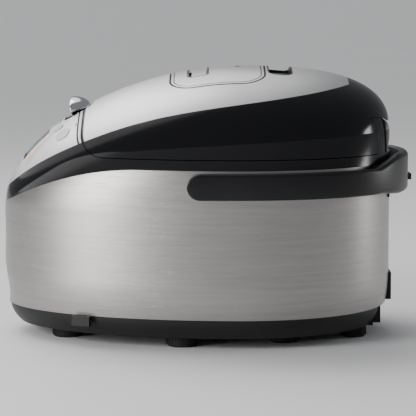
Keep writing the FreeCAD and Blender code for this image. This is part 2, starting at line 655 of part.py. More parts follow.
# --------------------------------------------------------------------------------------------
# Hinge, release lever, carry handle
# --------------------------------------------------------------------------------------------
def build_hinge():
    keep(cross_rod("pin_rod", "hinge_pin", "121", "-60.5", "hinge_y", "hinge_z"), "hinge_pin")
    coils = []
    for side, start in (("left", -50.6), ("right", 47.0)):
        for k in range(3):
            ring = bind(doc.addObject("Part::Torus", "hinge_spring_%s_%d" % (side, k)),
                        Radius1="6.2", Radius2="0.8")
            coils.append(put(ring, "%.2f" % (start + 1.8 * k), "hinge_y", "hinge_z", Y_AXIS, 90))
    keep(fuse("spring_coils", coils), "hinge_springs")


LEVER_MOUTH = V(0, -126.6, 214.2)
LEVER_LEAN = 16.0


def lever_ring(half, height, back, drop=0.0):
    """Oval outline in the lever's mouth plane, moved back into the lid by a distance."""
    frame = FreeCAD.Placement(LEVER_MOUTH, FreeCAD.Rotation(X_AXIS, LEVER_LEAN))
    oval = Part.Ellipse(V(0, 0, 0), half, height).toShape()
    oval.Placement = FreeCAD.Placement(V(0, back, -drop), FreeCAD.Rotation(X_AXIS, 90))
    return Part.Wire(oval.transformed(frame.toMatrix(), True).Edges)


def build_release_lever():
    outside = Part.makeLoft([lever_ring(24, 10.6, -1.5), lever_ring(24.5, 11, 0), lever_ring(21, 9, 6),
                             lever_ring(14, 6, 11)], True, False)
    inside = Part.makeLoft([lever_ring(22.5, 9.4, -2.5), lever_ring(21, 8.2, 3), lever_ring(15, 5.5, 8)],
                           True, False)
    cup = outside.cut(inside)
    stem = box(-6, 6, -121, -117.5, 199, 208)
    axle = Part.makeCylinder(2, 50, V(-25, -119.2, 201), X_AXIS)
    lever = cup.fuse(stem.fuse(axle).cut(inside)).removeSplitter()
    keep(feature("lever_cup", lever), "release_lever")
    keep(block("hook_plate", "12", "2", "16", "-6", "-124.5", "181"), "latch_hook")


def build_handle():
    inner, thick = size("handle_inner"), size("handle_thick")
    band, swing = size("handle_band") / 2, size("handle_swing")
    back = pivot_y + swing - size("pot_y")
    centre = size("pot_y")

    def half_round(half, tail, z0, z1):
        """Straight arms joined by a full rear curve."""
        curve = []
        for side in (1, -1):
            start, end = V(side * half, centre, z0), V(0, centre + tail, z0)
            poles = [start, start + Y_AXIS * tail * 0.57, end + X_AXIS * side * half * 0.57, end]
            quarter = Part.BezierCurve()
            quarter.setPoles(poles if side == 1 else poles[::-1])
            curve.append(quarter.toShape())
        left, right = V(-half, centre, z0), V(half, centre, z0)
        front_left, front_right = V(-half, -40, z0), V(half, -40, z0)
        lines = [Part.LineSegment(a, b).toShape() for a, b in
                 ((left, front_left), (front_left, front_right), (front_right, right))]
        return Part.Face(Part.Wire(curve + lines)).extrude(V(0, 0, z1 - z0))

    loop = half_round(inner + thick, back + thick + 0.8, 120, 190).cut(half_round(inner, back, 110, 200))
    low, high, rear = pivot_z - band, pivot_z + band, pivot_y + swing + thick + 0.8
    profile = side_line((pivot_y, low), (162, low), (178, low - 3), (rear - 9, low - 1.5))
    profile += side_arc((rear - 9, low - 1.5), (rear - 2, low + 2.5), (rear, low + 10))
    profile += side_line((rear, low + 10), (rear, high - 3))
    profile += side_arc((rear, high - 3), (rear - 2.2, high + 4), (rear - 9, high + 8.5))
    profile += side_line((rear - 9, high + 8.5), (178, high + 8), (155, high), (pivot_y, high))
    profile += side_arc((pivot_y, high), (pivot_y - band, pivot_z), (pivot_y, low))
    loop = loop.common(across_x(profile))
    for x0 in (-inner - 5.3, inner - 1):
        loop = loop.cut(Part.makeCylinder(size("handle_pivot") + 0.05, 6.3, V(x0, pivot_y, pivot_z), X_AXIS))
    keep(feature("handle_loop", loop), "carry_handle")
    hook = box(-11, 11, 190.5, 195.3, 145.5, 149.1).fuse(box(-11, 11, 193.9, 195.3, 145.5, 151))
    keep(feature("hook_whole", hook.cut(loop).removeSplitter()), "handle_hook")
    pins = []
    for side, x_pin, x_boss in (("left", "-150", "-144.7"), ("right", "136", "141.7")):
        pins.append(cross_rod("pivot_pin_" + side, "handle_pivot", "14", x_pin, "handle_y", "handle_z"))
        pins.append(cross_rod("pivot_boss_" + side, "10", "3", x_boss, "handle_y", "handle_z"))
        x_plate = "-136" if side == "left" else "130"
        pins.append(block("pivot_plate_" + side, "6", "30", "24", x_plate, "handle_y - 15", "handle_z - 12"))
    keep(fuse("pivot_set", pins), "handle_pivots")
    nubs = [Part.makeCylinder(2.5, 4, V(x, 168.6, 133), Y_AXIS).cut(outer) for x in (-32, 32)]
    keep(feature("rest_nub_pair", nubs[0].fuse(nubs[1])), "handle_bumpers")


# --------------------------------------------------------------------------------------------
# Build, test and write
# --------------------------------------------------------------------------------------------
build_steel_wall()
build_base()
build_base_details()
build_power_inlet()
build_upper_frame()
build_electronics()
build_heating()
build_lid()
build_lid_details()
build_steam_cap()
build_hinge()
build_release_lever()
build_handle()
doc.recompute()

for item in doc.Objects:
    if any(state in item.State for state in ("Invalid", "Error")):
        raise RuntimeError("%s did not compute: %s" % (item.Name, item.State))
for item in sub_parts:
    shape = item.Shape
    if shape.isNull() or not shape.isValid() or not shape.Solids or shape.Volume <= 0:
        raise RuntimeError("%s has no sound solid" % item.Label)
os.makedirs("parts", exist_ok=True)
for item in sub_parts:
    item.Shape.exportStep("parts/%s.step" % item.Label)
    print("%-24s solids %d  volume %9.0f" % (item.Label, len(item.Shape.Solids), item.Shape.Volume))
print(len(sub_parts), "sub-parts")
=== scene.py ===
"""Looks of an induction rice cooker, laid out as a Blender add-on and run as a script.

Metres. +Z is up and the control panel faces -Y. The outer form is one egg-shaped envelope, and its shells
are shaded and detailed from the same rule.
"""
import json
import math

import bmesh
import bpy
from bpy.props import FloatProperty, FloatVectorProperty, IntProperty, PointerProperty
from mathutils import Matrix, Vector


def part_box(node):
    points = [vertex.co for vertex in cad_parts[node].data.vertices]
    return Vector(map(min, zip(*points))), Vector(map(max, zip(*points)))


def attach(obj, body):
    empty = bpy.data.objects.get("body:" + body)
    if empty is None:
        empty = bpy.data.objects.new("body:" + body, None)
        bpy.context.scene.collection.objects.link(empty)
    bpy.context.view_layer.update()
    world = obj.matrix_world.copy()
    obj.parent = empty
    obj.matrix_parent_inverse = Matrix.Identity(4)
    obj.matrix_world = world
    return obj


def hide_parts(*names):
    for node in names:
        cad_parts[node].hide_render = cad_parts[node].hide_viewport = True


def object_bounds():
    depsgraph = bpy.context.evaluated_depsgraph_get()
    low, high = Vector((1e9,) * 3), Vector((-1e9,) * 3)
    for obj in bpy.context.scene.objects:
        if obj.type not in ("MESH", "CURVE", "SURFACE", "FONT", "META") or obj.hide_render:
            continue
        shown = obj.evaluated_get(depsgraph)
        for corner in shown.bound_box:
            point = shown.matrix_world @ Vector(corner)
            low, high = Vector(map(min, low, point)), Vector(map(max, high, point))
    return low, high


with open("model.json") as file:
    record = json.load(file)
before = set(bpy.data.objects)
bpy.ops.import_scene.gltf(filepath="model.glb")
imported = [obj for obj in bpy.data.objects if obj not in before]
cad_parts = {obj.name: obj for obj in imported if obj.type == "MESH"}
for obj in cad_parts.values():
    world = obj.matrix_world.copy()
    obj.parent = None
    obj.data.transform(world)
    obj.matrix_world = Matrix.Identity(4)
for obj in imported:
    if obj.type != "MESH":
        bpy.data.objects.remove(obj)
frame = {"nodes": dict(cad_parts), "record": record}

bl_info = {
    "name": "Rice cooker looks",
    "version": (1, 0, 0),
    "blender": (4, 5, 0),
    "location": "View3D > Sidebar > Cooker",
    "description": "Builds the shells, grips, feet and finishes of a rice cooker around its frame",
    "category": "Object",
}

CAD_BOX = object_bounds()
MM = 0.001
POT_LOW, POT_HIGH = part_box("inner_pot")
CAP_LOW, CAP_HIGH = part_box("steam_cap")
SKIRT_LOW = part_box("lid_skirt")[0]
GRIP_LOW, GRIP_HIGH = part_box("carry_handle")
POT_Y = (POT_LOW[1] + POT_HIGH[1]) / 2
TOP_Z = CAP_HIGH[2]
SEAM_Z = SKIRT_LOW[2]
FLOOR_Z = CAD_BOX[0][2]
LID_FRONT_Y, LID_BEND = SKIRT_LOW[1], 0.020
CAP_PLAN = (CAP_HIGH[0], CAP_LOW[1], CAP_HIGH[1], 0.024)
CAP_WINDOW_PLAN = (0.045, -0.018, -0.001, 0.004)


# ------------------------------------------------------------------------------------------------
# Settings that a user would change
# ------------------------------------------------------------------------------------------------
def length(name, default, description):
    return FloatProperty(name=name, description=description, default=default, min=0.0, unit="LENGTH")


def tint(name, default, description):
    return FloatVectorProperty(name=name, description=description, default=default, size=3, min=0, max=1,
                               subtype="COLOR")


class CookerSizes(bpy.types.PropertyGroup):
    """Sizes of the visible pieces."""
    nose: length("Nose", 0.2253, "Pot centre to the front of the body")
    tail: length("Tail", 0.1445, "Pot centre to the back of the body")
    half: length("Half width", 0.142, "Pot centre to the side of the body")
    grip_edge: length("Grip rounding", 0.0030, "Rounding on the carry handle's edges")
    foot_ribs: IntProperty(name="Foot ribs", description="Ribs moulded around each foot", default=28, min=3)


class CookerColours(bpy.types.PropertyGroup):
    """Base colours of the finishes."""
    steel: tint("Steel wrap", (0.37, 0.358, 0.348), "Brushed steel wall")
    silver: tint("Silver", (0.60, 0.60, 0.60), "Satin silver lid plate")
    panel: tint("Panel", (0.64, 0.64, 0.66), "Silver control panel")
    black: tint("Gloss black", (0.0045, 0.0045, 0.0055), "Glossy moulded skirts")
    satin: tint("Satin black", (0.0065, 0.0065, 0.0075), "Carry handle")
    rubber: tint("Rubber", (0.008, 0.008, 0.008), "Feet")
    amber: tint("Amber", (0.80, 0.40, 0.05), "Arcs printed on the panel")


def sizes():
    return bpy.context.scene.cooker_sizes


def colours():
    return bpy.context.scene.cooker_colours


# ------------------------------------------------------------------------------------------------
# The envelope
# ------------------------------------------------------------------------------------------------
# Heights above which the front, the sides and the back curve in, and how squarely they do so.
NOSE_TURN, SIDE_TURN, TAIL_TURN = 0.125, 0.150, 0.190
NOSE_POWER, SIDE_POWER, TAIL_POWER = 1.8, 2.05, 2.72
# How squarely the plan is rounded in front of the pot and behind it.
FRONT_ROUND, REAR_ROUND = 2.0, 2.06
# Below TUCK_Z the wall draws in, by TUCK at TUCK_FALL lower.
TUCK, TUCK_Z, TUCK_FALL = 0.003, 0.062, 0.0332
DOME_FROM_Z = 0.17


def lean(z, turn, reach, power):
    """Distance from the pot's centre to the envelope at a height, along one axis."""
    rise = max(0.0, z - turn) / (TOP_Z - turn)
    tuck = TUCK * (max(0.0, TUCK_Z - z) / TUCK_FALL) ** 2
    return reach * max(0.0, 1 - rise ** power) ** (1 / power) - tuck


def fill(x, y, z, rear):
    """1 on the front or rear half of the envelope, less inside it and more outside."""
    s = sizes()
    half = max(1e-5, lean(z, SIDE_TURN, s.half, SIDE_POWER))
    along = lean(z, TAIL_TURN, s.tail, TAIL_POWER) if rear else lean(z, NOSE_TURN, s.nose, NOSE_POWER)
    power = REAR_ROUND if rear else FRONT_ROUND
    return (abs(x) / half) ** power + (abs(y - POT_Y) / max(1e-5, along)) ** power


def dome_z(x, y):
    """Height of the envelope above a plan point."""
    low, high = 0.10, TOP_Z
    for _ in range(26):
        middle = (low + high) / 2
        low, high = (middle, high) if fill(x, y, middle, y > POT_Y) < 1 else (low, middle)
    return low


def envelope_normal(p):
    """Outward normal of the envelope nearest a point, and how far the point lies off it."""
    z = dome_z(p.x, p.y) if p.z > DOME_FROM_Z else p.z
    z = min(z, TOP_Z - 2e-4)
    step, rear = 2e-5, p.y > POT_Y
    slope = Vector((fill(p.x + step, p.y, z, rear) - fill(p.x - step, p.y, z, rear),
                    fill(p.x, p.y + step, z, rear) - fill(p.x, p.y - step, z, rear),
                    fill(p.x, p.y, z + step, rear) - fill(p.x, p.y, z - step, rear))) / (2 * step)
    if slope.length < 1e-6:
        return Vector((0, 0, 1)), abs(p.z - z)
    return slope.normalized(), abs(p.z - z) * abs(slope.normalized().z)


# ------------------------------------------------------------------------------------------------
# Mesh helpers
# ------------------------------------------------------------------------------------------------
def new_object(name, mesh):
    mesh.name = name
    piece = bpy.data.objects.new(name, mesh)
    bpy.context.scene.collection.objects.link(piece)
    return piece


def from_lists(name, verts, faces):
    mesh = bpy.data.meshes.new(name)
    mesh.from_pydata([tuple(v) for v in verts], [], faces)
    mesh.validate()
    return new_object(name, mesh)


# Axes along which a copied mesh is cut up, and the distance between cuts.
CUT_EVERY = ((1, 0.012), (2, 0.010))


def merged_copy(node, name):
    """Copy of a frame node's mesh with its loose triangles joined and its long ones cut up."""
    mesh = frame["nodes"][node].data.copy()
    mesh.materials.clear()
    work = bmesh.new()
    work.from_mesh(mesh)
    bmesh.ops.remove_doubles(work, verts=work.verts, dist=2e-6)
    low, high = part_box(node)
    for axis, step in CUT_EVERY:
        for k in range(1, int((high[axis] - low[axis]) / step)):
            place, normal = Vector(), Vector()
            place[axis], normal[axis] = low[axis] + k * step, 1.0
            bmesh.ops.bisect_plane(work, geom=work.verts[:] + work.edges[:] + work.faces[:], dist=1e-7,
                                   plane_co=place, plane_no=normal)
    bmesh.ops.triangulate(work, faces=work.faces)
    work.to_mesh(mesh)
    work.free()
    return new_object(name, mesh)


def shade(piece, angle=35.0):
    """Shade a piece smooth, apart from edges sharper than an angle in degrees."""
    mesh = piece.data
    mesh.polygons.foreach_set("use_smooth", [True] * len(mesh.polygons))
    mesh.set_sharp_from_angle(angle=math.radians(angle))
    return piece


# Most that a face on the envelope lies off it, and least cosines for facing as it does and for facing straight up.
NEAR_ENVELOPE, ALONG_ENVELOPE, LEVEL = 1.5e-3, 0.93, 0.9999


def shade_on_envelope(piece):
    """Give faces on the envelope its exact normals and level faces their own, so that gloss runs unbroken."""
    mesh = shade(piece).data
    known = [envelope_normal(v.co) for v in mesh.vertices]
    corner_normals = [(0.0, 0.0, 0.0)] * len(mesh.loops)
    for face in mesh.polygons:
        on_envelope = all(known[v][1] < NEAR_ENVELOPE and known[v][0].dot(face.normal) > ALONG_ENVELOPE
                          for v in face.vertices)
        for corner in face.loop_indices:
            if on_envelope:
                corner_normals[corner] = tuple(known[mesh.loops[corner].vertex_index][0])
            elif abs(face.normal.z) > LEVEL:
                corner_normals[corner] = tuple(face.normal)
    mesh.normals_split_custom_set(corner_normals)
    return piece


def settle(piece, angle=35.0):
    """Apply the piece's modifiers, turn its faces outwards and shade it smooth."""
    bpy.context.view_layer.update()
    mesh = bpy.data.meshes.new_from_object(piece.evaluated_get(bpy.context.evaluated_depsgraph_get()))
    piece.modifiers.clear()
    old, piece.data = piece.data, mesh
    bpy.data.meshes.remove(old)
    mesh.name = piece.name
    work = bmesh.new()
    work.from_mesh(mesh)
    bmesh.ops.remove_doubles(work, verts=work.verts, dist=1e-6)
    bmesh.ops.recalc_face_normals(work, faces=work.faces)
    work.to_mesh(mesh)
    work.free()
    return shade(piece, angle)


def round_edges(piece, width):
    bevel = piece.modifiers.new("rounding", "BEVEL")
    bevel.width, bevel.segments = width, 2
    bevel.limit_method, bevel.angle_limit = "ANGLE", math.radians(40)
    bevel.harden_normals = False
    return piece


def finish_piece(piece, look, slot, body, *nodes):
    """Give a finished mesh its look, its body and the nodes it stands for; the slot is not used."""
    piece.data.materials.clear()
    piece.data.materials.append(material(look))
    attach(piece, body)
    if nodes:
        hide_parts(*nodes)


# ------------------------------------------------------------------------------------------------
# Shader expressions
# ------------------------------------------------------------------------------------------------
class Value:
    """A shader socket. An expression on values adds its Math nodes."""

    def __init__(self, finish, socket):
        self.finish, self.socket = finish, socket

    def math(self, operation, *others):
        return self.finish.math(operation, self, *others)

    def __add__(self, other):
        return self.math("ADD", other)

    def __mul__(self, other):
        return self.math("MULTIPLY", other)

    def __sub__(self, other):
        return self.math("SUBTRACT", other)

    def __rsub__(self, other):
        return self.finish.math("SUBTRACT", other, self)

    def __lt__(self, other):
        return self.math("LESS_THAN", other)

    def __gt__(self, other):
        return self.math("GREATER_THAN", other)

    def __abs__(self):
        return self.math("ABSOLUTE")

    __radd__, __rmul__ = __add__, __mul__


class Finish:
    """One material, built from Python expressions on its own nodes."""

    def __init__(self, name, **sockets):
        self.material = bpy.data.materials.new(name)
        self.material.use_nodes = True
        self.tree = self.material.node_tree
        self.shader = self.tree.nodes["Principled BSDF"]
        self.set(**sockets)

    def node(self, kind, settings=None, inputs=None, output=0):
        made = self.tree.nodes.new(kind)
        for name, value in (settings or {}).items():
            setattr(made, name, value)
        for name, value in (inputs or {}).items():
            self.feed(made.inputs[name], value)
        return Value(self, made.outputs[output])

    def feed(self, socket, value):
        if isinstance(value, Value):
            self.tree.links.new(value.socket, socket)
        elif socket.type == "RGBA" and len(value) == 3:
            socket.default_value = (*value, 1.0)
        else:
            socket.default_value = value

    def math(self, operation, *values):
        return self.node("ShaderNodeMath", {"operation": operation}, dict(enumerate(values)))

    def set(self, **sockets):
        for name, value in sockets.items():
            self.feed(self.shader.inputs[name.replace("_", " ")], value)
        return self

    def place(self):
        """Object coordinates x, y and z."""
        where = self.node("ShaderNodeTexCoord", output="Object")
        return [self.node("ShaderNodeSeparateXYZ", inputs={0: where}, output=k) for k in range(3)]

    def noise(self, scale, stretch=(1, 1, 1), detail=3.0, rough=0.5):
        """Noise of 0 to 1 over the object, with features of about 1/scale metres."""
        where = self.node("ShaderNodeTexCoord", output="Object")
        spread = self.node("ShaderNodeMapping", inputs={"Vector": where, "Scale": stretch})
        return self.node("ShaderNodeTexNoise", inputs={"Vector": spread, "Scale": scale, "Detail": detail,
                                                       "Roughness": rough})

    def ramp(self, value, low, high, to_low=0.0, to_high=1.0, kind="SMOOTHSTEP"):
        return self.node("ShaderNodeMapRange", {"interpolation_type": kind},
                         {"Value": value, "From Min": low, "From Max": high, "To Min": to_low,
                          "To Max": to_high})

    def mix(self, share, first, second):
        """Colour between two colours."""
        made = self.tree.nodes.new("ShaderNodeMix")
        made.data_type = "RGBA"
        self.feed(made.inputs[0], share)
        self.feed(made.inputs[6], first)
        self.feed(made.inputs[7], second)
        return Value(self, made.outputs[2])

    def lid_depth(self, y, z):
        """Distance inside the closed lid's front and lower edge in side view; negative outside."""
        bend_y, bend_z = LID_FRONT_Y + LID_BEND, SEAM_Z + LID_BEND
        near_y, near_z = self.math("MAXIMUM", bend_y - y, 0.0), self.math("MAXIMUM", bend_z - z, 0.0)
        return LID_BEND - self.math("SQRT", near_y * near_y + near_z * near_z)

    def plan_depth(self, x, y, plan, grow=0.0):
        """Distance outside a rounded rectangle drawn in plan; negative inside."""
        half, front, back, corner = plan
        out_x = abs(x) - (half - corner)
        out_y = abs(y - (front + back) / 2) - ((back - front) / 2 - corner)
        over_x, over_y = self.math("MAXIMUM", out_x, 0.0), self.math("MAXIMUM", out_y, 0.0)
        inner = self.math("MINIMUM", self.math("MAXIMUM", out_x, out_y), 0.0)
        return self.math("SQRT", over_x * over_x + over_y * over_y) + inner - corner - grow

    def paint_over(self, share, colour):
        """Paint a colour over the base colour where a mask of 0 to 1 says so."""
        under = Value(self, self.shader.inputs["Base Color"].links[0].from_socket)
        return self.set(Base_Color=self.mix(share, under, colour))

    def bump(self, height, distance, strength=1.0, under=None):
        """Normal from a height of 0 to 1 standing for a distance in metres."""
        inputs = {"Height": height, "Distance": distance, "Strength": strength}
        if under is not None:
            inputs["Normal"] = under
        return self.node("ShaderNodeBump", inputs=inputs)


# ------------------------------------------------------------------------------------------------
# Finishes
# ------------------------------------------------------------------------------------------------
def brushed_wrap(name):
    """Steel brushed along the wall, with long faint streaks and a few deeper scratches."""
    made = Finish(name, Metallic=1.0)
    fine = made.noise(60, (1, 1, 34), 4, 0.65)
    streak = made.noise(9, (1, 1, 30), 3, 0.6)
    cloud = made.noise(6, (1, 1, 1.4), 2)
    scratch = made.ramp(made.noise(26, (1, 1, 70), 1), 0.66, 0.74)
    base = colours().steel
    tone = made.ramp(fine * 0.45 + streak * 0.4 + cloud * 0.15, 0.3, 0.7)
    made.set(Base_Color=made.mix(tone, [c * 0.86 for c in base], [min(1, c * 1.10) for c in base]),
             Roughness=0.30 + fine * 0.10 + cloud * 0.06 - scratch * 0.05,
             Normal=made.bump(fine * 0.7 + streak * 0.3 - scratch * 0.4, 0.00012, 0.7))
    return made


def satin_metal(name, base, rough=0.34, metallic=0.75):
    """Metallic paint: fine flakes under a satin clear coat, with slight orange peel."""
    made = Finish(name, Metallic=metallic, Coat_Roughness=0.25, Coat_Weight=0.15)
    flake = made.noise(1500, detail=1)
    peel = made.noise(260, detail=2)
    cloud = made.noise(9, detail=2)
    tone = made.ramp(flake * 0.6 + cloud * 0.4, 0.3, 0.7)
    made.set(Base_Color=made.mix(tone, [c * 0.92 for c in base], [min(1, c * 1.05) for c in base]),
             Roughness=rough + flake * 0.08 + cloud * 0.04,
             Normal=made.bump(peel + flake * 0.4, 0.00002, 0.4))
    return made


# Near black painted along the gaps between the lid, the cap, the trim and the panel: painted gap shadow.
PAINTED_GAP_SHADE = (0.006, 0.006, 0.007)


def lid_paint(name):
    """Silver plate with painted gap shadow along its front edge and around the steam cap."""
    made = satin_metal(name, colours().silver)
    x, y, z = made.place()
    past_cap = made.plan_depth(x, y, CAP_PLAN)
    # Painted shadow: the gaps at the plate's front edge and around the steam cap are painted near black.
    gap_shade = made.math("MAXIMUM", made.lid_depth(y, z) < 0.0015, (past_cap < 0.0016) * (past_cap > -0.001))
    return made.paint_over(gap_shade, PAINTED_GAP_SHADE)


def cap_paint(name):
    """Silver cap with painted shade along a groove line inside its rim, along the rim itself and in a well around
    its latch.
    """
    made = satin_metal(name, [min(1.0, c * 1.08) for c in colours().silver], 0.26)
    x, y, _ = made.place()
    edge = made.plan_depth(x, y, CAP_PLAN)
    # Painted shade: a line inside the rim, the rim itself and a well round the latch are painted near black.
    groove = abs(edge + 0.0030) < 0.0006
    rim = edge > -0.0005
    well = made.plan_depth(x, y, CAP_WINDOW_PLAN, 0.0020) < 0.0
    dark = made.math("MAXIMUM", made.math("MAXIMUM", groove, rim), well)
    return made.paint_over(dark, PAINTED_GAP_SHADE)


def latch_paint(name):
    return satin_metal(name, colours().silver, 0.26)


def trim_paint(name):
    """Silver strip between the panel and the lid, with painted gap shadow along both edges."""
    made = satin_metal(name, [c * 0.80 for c in colours().silver])
    _, y, z = made.place()
    depth = made.lid_depth(y, z)
    # Painted shadow: both edges of the strip, by the lid and by the panel, are painted near black.
    return made.paint_over(made.math("MAXIMUM", depth > -0.0015, depth < -0.0037), PAINTED_GAP_SHADE)


def panel_paint(name):
    """Silver panel with an amber and a grey arc on each side of the display, a few plain marks, and painted gap
    shadow along its edge by the trim.
    """
    made = satin_metal(name, colours().panel)
    x, y, z = made.place()
    arc_y, arc_reach, arc_front = -0.1635, 0.040, -0.172
    along, across = (y - arc_y) * 1.35, abs(x)
    ring = made.math("SQRT", along * along + across * across)
    amber_arc = (abs(ring - arc_reach) < 0.0016) * (across > 0.031) * (y > arc_front)
    grey_arc = (abs(ring - (arc_reach + 0.0050)) < 0.0006) * (across > 0.033) * (y > arc_front)
    marks = (abs(across - 0.0560) < 0.0025) * (abs(y + 0.1235) < 0.0007)
    dashes = (abs(across - 0.010) < 0.006) * (abs(y + 0.1815) < 0.0006)
    made.paint_over(grey_arc, (0.30, 0.30, 0.31))
    made.paint_over(amber_arc, colours().amber)
    made.paint_over(made.math("MAXIMUM", marks, dashes), (0.05, 0.05, 0.055))
    # Painted shadow: the panel's edge next to the lid trim is painted near black.
    return made.paint_over(made.lid_depth(y, z) > -0.0055, PAINTED_GAP_SHADE)


# The crease's height at places along y, and the height that its curve node counts as 1.
CREASE = [(-0.215, 0.105), (-0.150, 0.158), (-0.117, 0.1745), (-0.060, 0.1825), (0.020, 0.1885), (0.110, 0.193),
          (0.170, 0.195)]
CREASE_SPAN = 0.25


def gloss_black(name):
    """Deep black moulding whose skirt turns under a crease that runs round from front to back, painted lighter below
    the crease as a painted reflection.
    """
    made = Finish(name, IOR=1.36)
    _, y, z = made.place()
    low, high = CREASE[0][0], CREASE[-1][0]
    curve = made.tree.nodes.new("ShaderNodeFloatCurve")
    line = curve.mapping.curves[0]
    stops = [((cy - low) / (high - low), cz / CREASE_SPAN) for cy, cz in CREASE]
    line.points[0].location, line.points[-1].location = stops[0], stops[-1]
    for stop in stops[1:-1]:
        line.points.new(*stop)
    curve.mapping.update()
    made.feed(curve.inputs["Value"], made.ramp(y, low, high, kind="LINEAR"))
    crease = Value(made, curve.outputs[0]) * CREASE_SPAN
    under = made.math("MAXIMUM", crease - z, 0.0)
    painted_reflection = made.ramp(under, 0.0, 0.0012)
    haze = made.noise(40, detail=3)
    dust = made.ramp(made.noise(900, detail=1), 0.70, 0.78)
    base = colours().black
    # Painted reflection: below the crease the black is painted lighter, standing in for light caught by the
    # turned-under skirt; sparse dust specks lighten it slightly too.
    made.set(Base_Color=made.mix(painted_reflection * 0.7 + dust * 0.05, base, (0.016, 0.016, 0.017)),
             Roughness=0.10 + haze * 0.06 + painted_reflection * 0.06,
             Normal=made.bump(under * 100, 0.0022, 1.0, made.bump(haze, 0.00002, 0.3)))
    return made


def moulded(name, base, rough, grain=900, depth=0.00003, lift=1.35, ior=1.36):
    """Moulded plastic with a fine spark-eroded grain and a slightly worn sheen."""
    made = Finish(name, IOR=ior)
    texture = made.noise(grain, detail=2, rough=0.6)
    cloud = made.noise(24, detail=3)
    made.set(Base_Color=made.mix(made.ramp(texture * 0.5 + cloud * 0.5, 0.3, 0.7), base, [c * lift for c in base]),
             Roughness=rough + texture * 0.10 - cloud * 0.06,
             Normal=made.bump(texture, depth, 0.6))
    return made


def grip_plastic(name):
    return moulded(name, colours().satin, 0.34, 1300, 0.000015)


def case_plastic(name):
    return moulded(name, (0.0085, 0.0085, 0.0092), 0.46, 800)


def liner_plastic(name):
    return moulded(name, (0.34, 0.345, 0.35), 0.42, 700, lift=1.08, ior=1.5)


def foot_rubber(name):
    return moulded(name, colours().rubber, 0.70, 500, 0.00006, 1.8)


def seal_rubber(name):
    return moulded(name, (0.46, 0.46, 0.45), 0.48, 600, lift=1.08)


def polished_chrome(name):
    made = Finish(name, Metallic=1.0)
    wave = made.noise(70, detail=1)
    smear = made.noise(30, (1, 3, 1), 3)
    made.set(Base_Color=made.mix(smear, (0.70, 0.71, 0.72), (0.80, 0.81, 0.83)),
             Roughness=0.08 + smear * 0.08, Normal=made.bump(wave, 0.00003, 0.5))
    return made


def turned_metal(name, base, rough, ring_scale=0.0, centre=(0, 0)):
    """Machined metal; turned rings round a centre where the scale is not zero."""
    made = Finish(name, Metallic=1.0)
    grain = made.noise(300, (1, 1, 4), 3)
    relief = grain
    if ring_scale:
        x, y, _ = made.place()
        dx, dy = x - centre[0], y - centre[1]
        rings = made.math("SINE", made.math("SQRT", dx * dx + dy * dy) * ring_scale)
        relief = grain * 0.5 + rings * 0.25 + 0.25
    made.set(Base_Color=made.mix(relief, [c * 0.88 for c in base], base),
             Roughness=rough + grain * 0.12, Normal=made.bump(relief, 0.00004, 0.5))
    return made


def screw_steel(name):
    return turned_metal(name, (0.55, 0.55, 0.55), 0.25)


def contact_brass(name):
    return turned_metal(name, (0.72, 0.55, 0.26), 0.22)


def sink_aluminium(name):
    return turned_metal(name, (0.74, 0.74, 0.75), 0.28, 5200, (0, POT_Y))


def wound_copper(name):
    """Enamelled strands lying side by side around the pot, with painted shade between the strands and painted
    highlight on their crests.
    """
    made = Finish(name, Metallic=0.9)
    x, y, z = made.place()
    dy = y - POT_Y
    ring = made.math("SQRT", x * x + dy * dy)
    strand = made.math("SINE", ring * 3600 + z * 3600) * 0.5 + 0.5
    sheen = made.noise(90, detail=3)
    # The colour is painted dark in the grooves between strands and light on their crests: painted shade and painted
    # highlight.
    made.set(Base_Color=made.mix(strand, (0.22, 0.07, 0.02), (0.66, 0.29, 0.12)),
             Roughness=0.28 + sheen * 0.15, Normal=made.bump(strand, 0.0004, 0.8))
    return made


def sintered(name):
    return moulded(name, (0.035, 0.034, 0.033), 0.62, 1200, 0.00008, 1.6)


def pot_coating(name):
    """Dark non-stick coating with fine pale specks."""
    made = Finish(name, Metallic=0.35)
    texture = made.noise(700, detail=2)
    speck = made.ramp(made.noise(1500, detail=1), 0.66, 0.70)
    made.set(Base_Color=made.mix(speck, (0.045, 0.042, 0.040), (0.38, 0.36, 0.33)),
             Roughness=0.30 + texture * 0.12, Normal=made.bump(texture, 0.00003, 0.6))
    return made


def board_laminate(name):
    """Green solder mask over copper tracks."""
    made = Finish(name)
    x, y, _ = made.place()
    lane_x, lane_y = made.math("SINE", x * 1700), made.math("SINE", y * 1300)
    zone = made.ramp(made.noise(90, detail=0), 0.48, 0.52)
    track = made.math("MAXIMUM", (lane_x > 0.55) * zone, (lane_y > 0.6) * (1 - zone))
    pad = (lane_x > 0.9) * (lane_y > 0.9)
    base = made.mix(track, (0.010, 0.085, 0.030), (0.030, 0.170, 0.060))
    made.set(Base_Color=made.mix(pad, base, (0.62, 0.60, 0.55)), Roughness=0.30 + track * 0.08,
             Normal=made.bump(track, 0.00004, 0.7))
    return made


def display_glass(name):
    """Clear window over the display, slightly smoked."""
    made = Finish(name, IOR=1.49, Coat_Weight=0.5, Coat_Roughness=0.03)
    smear = made.noise(60, (1, 4, 1), 3)
    made.set(Base_Color=made.mix(smear, (0.10, 0.115, 0.11), (0.13, 0.145, 0.14)), Roughness=0.05 + smear * 0.06,
             Alpha=0.32 + smear * 0.04)
    return made


